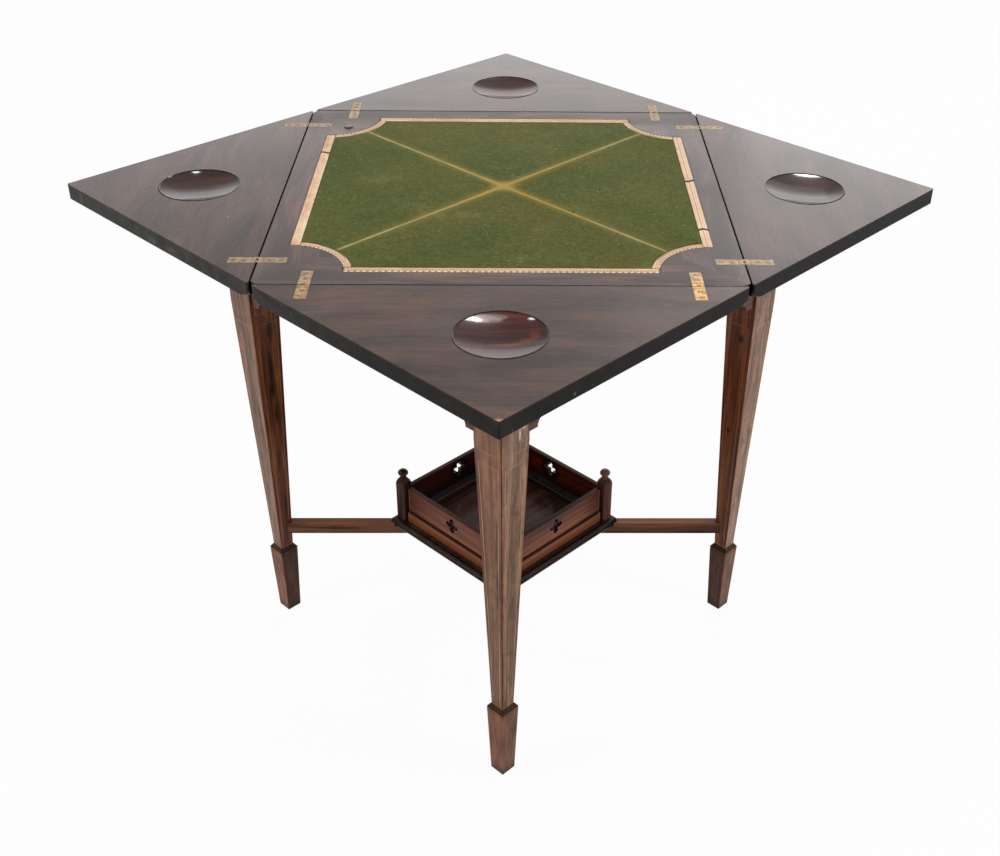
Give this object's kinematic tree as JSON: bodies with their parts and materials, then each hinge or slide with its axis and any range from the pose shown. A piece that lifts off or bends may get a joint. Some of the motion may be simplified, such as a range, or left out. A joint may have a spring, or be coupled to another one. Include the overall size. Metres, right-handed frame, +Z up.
{
  "type": "envelope card table",
  "caption": "Square swivel-top card table whose hinged triangular leaves fold out onto the base corners, with baize panel, counter wells, tapered legs and a stretcher tray.",
  "frame": {"origin": "on the floor, straight below the swivel, in the middle of the four feet", "axes": "+Z up; -Y towards the viewer of the picture; the open top's straight sides lie along X and Y and its leaf tips point along X and Y; the base is turned by 45 degrees, with a leg on each of X and Y"},
  "size_m": [1.1562, 1.1562, 0.731],
  "materials": {
    "rosewood_top": "french-polished rosewood",
    "rosewood_leaf": "french-polished rosewood",
    "rosewood_leg": "waxed rosewood with pale string inlay",
    "rosewood_frame": "polished rosewood",
    "rosewood_stretcher": "polished rosewood",
    "rosewood_tray": "polished rosewood, red-brown",
    "rosewood_post": "polished dark rosewood",
    "carcase_wood": "unpolished secondary wood",
    "baize": "woven wool cloth, worn",
    "leather": "tooled and gilt leather",
    "brass": "dull aged brass",
    "steel": "dull turned steel",
    "ebony": "ebonised wood"
  },
  "bodies": {
    "base": {"pivot_rail": "carcase_wood", "apron_back_left": "rosewood_frame", "apron_front_left": "rosewood_frame", "apron_front_right": "rosewood_frame", "apron_back_right": "rosewood_frame", "bracket_back_left_low": "rosewood_frame", "bracket_back_left_high": "rosewood_frame", "bracket_front_left_low": "rosewood_frame", "bracket_front_left_high": "rosewood_frame", "bracket_front_right_low": "rosewood_frame", "bracket_front_right_high": "rosewood_frame", "bracket_back_right_low": "rosewood_frame", "bracket_back_right_high": "rosewood_frame", "leg_back": "rosewood_leg", "leg_left": "rosewood_leg", "leg_front": "rosewood_leg", "leg_right": "rosewood_leg", "stretcher_side": "rosewood_stretcher", "stretcher_long": "rosewood_stretcher", "tray_board": "rosewood_tray", "tray_wall_back_left": "rosewood_tray", "tray_wall_front_left": "rosewood_tray", "tray_wall_front_right": "rosewood_tray", "tray_wall_back_right": "rosewood_tray", "tray_post_back": "rosewood_post", "tray_post_left": "rosewood_post", "tray_post_front": "rosewood_post", "tray_post_right": "rosewood_post"},
    "top": {"top_board": "rosewood_top", "baize_panel": "baize", "leather_border": "leather", "hinge_board_plate_right_low": "brass", "hinge_board_plate_right_high": "brass", "hinge_board_plate_back_low": "brass", "hinge_board_plate_back_high": "brass", "hinge_board_plate_left_low": "brass", "hinge_board_plate_left_high": "brass", "hinge_board_plate_front_low": "brass", "hinge_board_plate_front_high": "brass", "pivot_bolt": "steel", "pivot_washer": "steel", "pivot_nut": "steel"},
    "lifter": {"lifter_peg": "ebony"},
    "leaf_right_body": {"leaf_right": "rosewood_leaf", "hinge_leaf_plate_right_low": "brass", "hinge_leaf_plate_right_high": "brass"},
    "leaf_back_body": {"leaf_back": "rosewood_leaf", "hinge_leaf_plate_back_low": "brass", "hinge_leaf_plate_back_high": "brass"},
    "leaf_left_body": {"leaf_left": "rosewood_leaf", "hinge_leaf_plate_left_low": "brass", "hinge_leaf_plate_left_high": "brass"},
    "leaf_front_body": {"leaf_front": "rosewood_leaf", "hinge_leaf_plate_front_low": "brass", "hinge_leaf_plate_front_high": "brass"}
  },
  "joints": [
    {"name": "top_swivel", "type": "hinge", "parent": "base", "child": "top", "pos_m": [0, 0, 0.708], "axis": [0, 0, 1], "range_deg": [0, 45]},
    {"name": "leaf_right_hinge", "type": "hinge", "parent": "top", "child": "leaf_right_body", "pos_m": [0.29, 0, 0.7295], "axis": [0, -1, 0], "range_deg": [0, 180]},
    {"name": "leaf_back_hinge", "type": "hinge", "parent": "top", "child": "leaf_back_body", "pos_m": [0, 0.29, 0.7295], "axis": [1, 0, 0], "range_deg": [0, 180]},
    {"name": "leaf_left_hinge", "type": "hinge", "parent": "top", "child": "leaf_left_body", "pos_m": [-0.29, 0, 0.7295], "axis": [0, 1, 0], "range_deg": [0, 180]},
    {"name": "leaf_front_hinge", "type": "hinge", "parent": "top", "child": "leaf_front_body", "pos_m": [0, -0.29, 0.7295], "axis": [-1, 0, 0], "range_deg": [0, 180]},
    {"name": "lifter_slide", "type": "slide", "parent": "top", "child": "lifter", "axis": [0, 0, 1], "range_m": [-0.002, 0]}
  ],
  "couplings": [
    {"joint": "lifter_slide", "follows": "leaf_left_hinge", "m_per_rad": -0.000636}
  ]
}
